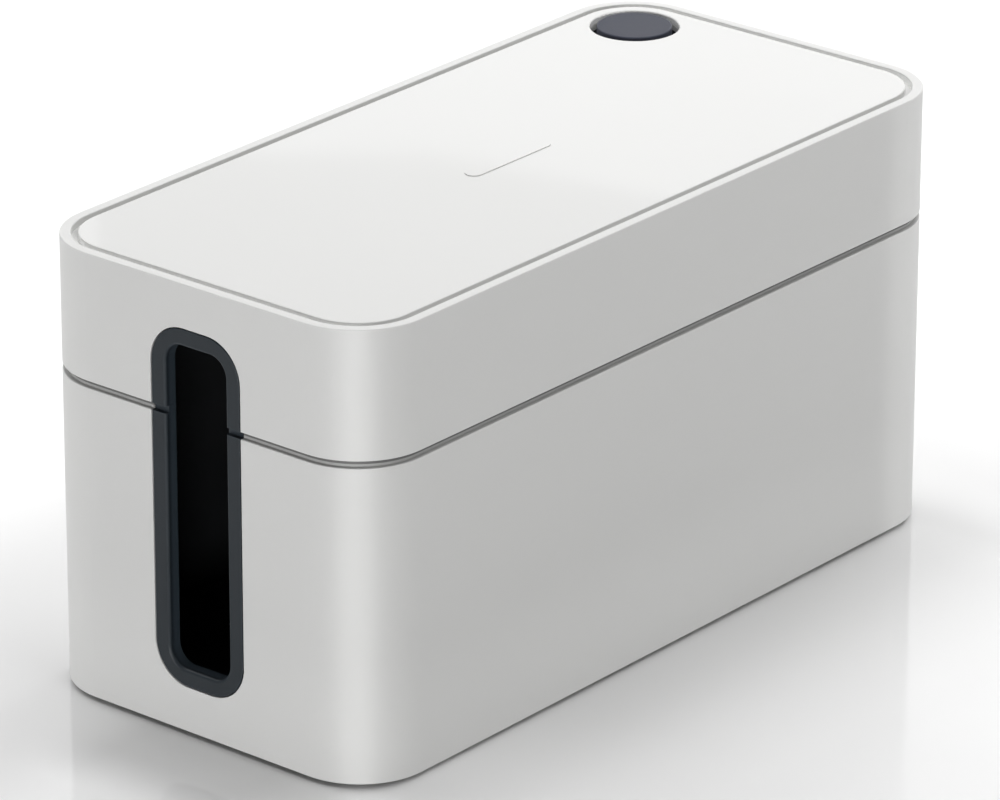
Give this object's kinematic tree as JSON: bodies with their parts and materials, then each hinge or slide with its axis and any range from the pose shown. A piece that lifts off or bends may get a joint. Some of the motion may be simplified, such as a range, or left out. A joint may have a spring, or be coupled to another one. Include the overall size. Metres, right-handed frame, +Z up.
{
  "type": "cable management box",
  "caption": "Rounded rectangular cable box with a lift-off lid, rubber-trimmed cable slots in its end walls, an inlaid top plate and a round cable outlet with a removable plug.",
  "frame": {"origin": "centre of the footprint, on the plane the feet stand on", "axes": "+X along the length, towards the end that has the cable outlet above it; +Y across the width, towards the outlet's corner; +Z up"},
  "size_m": [0.246, 0.116, 0.1274],
  "materials": {
    "shell_plastic": "light grey, satin, fine moulded grain",
    "plate_polished": "light grey, polished",
    "adhesive_film": "translucent white double-sided film",
    "trim_rubber": "slate, satin elastomer",
    "plug_rubber": "slate, matt elastomer",
    "foot_rubber": "dark grey, matt"
  },
  "bodies": {
    "base": {"base_shell": "shell_plastic", "slot_trim_left_lower": "trim_rubber", "slot_trim_right_lower": "trim_rubber", "foot_front_left": "foot_rubber", "foot_rear_left": "foot_rubber", "foot_front_right": "foot_rubber", "foot_rear_right": "foot_rubber", "foot_adhesive_discs": "adhesive_film"},
    "lid": {"lid_shell": "shell_plastic", "top_plate": "plate_polished", "top_plate_adhesive": "adhesive_film", "slot_trim_left_upper": "trim_rubber", "slot_trim_right_upper": "trim_rubber"},
    "plug": {"outlet_plug": "plug_rubber"}
  },
  "joints": [
    {"name": "lid_lift", "type": "slide", "parent": "base", "child": "lid", "axis": [0, 0, 1], "range_m": [0, 0.1]},
    {"name": "plug_lift", "type": "slide", "parent": "lid", "child": "plug", "axis": [0, 0, 1], "range_m": [0, 0.03]}
  ]
}
